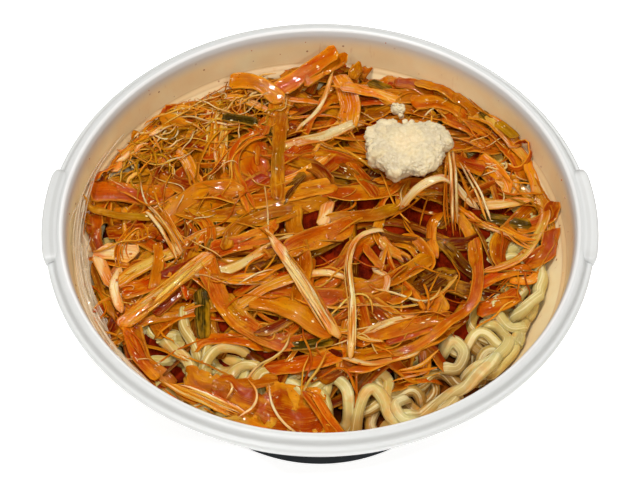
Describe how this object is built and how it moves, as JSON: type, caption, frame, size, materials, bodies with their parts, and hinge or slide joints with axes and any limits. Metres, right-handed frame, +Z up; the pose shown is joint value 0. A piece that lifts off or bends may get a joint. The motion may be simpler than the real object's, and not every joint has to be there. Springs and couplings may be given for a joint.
{
  "type": "bowl of miso ramen",
  "caption": "Round white take-away bowl of wavy ramen noodles under a mound of shredded onion in spicy orange dressing, topped with grated garlic.",
  "frame": {"origin": "centre of the ring on which the foot stands, on the surface under the bowl", "axes": "+Z up, out of the bowl; the rim's two flat grips lie on the X axis; +Y points to the side away from the eater"},
  "size_m": [0.1914, 0.1892, 0.0782],
  "materials": {
    "bowl_plastic": "satin",
    "bowl_outside": "satin",
    "noodle": "satin",
    "dressed_onion": "gloss",
    "garlic": "satin"
  },
  "bodies": {
    "root": {"bowl": "bowl_plastic", "noodles": "noodle", "onion_heap": "dressed_onion", "onion_front": "dressed_onion", "garlic": "garlic", "garlic_crumb": "garlic"}
  },
  "joints": []
}
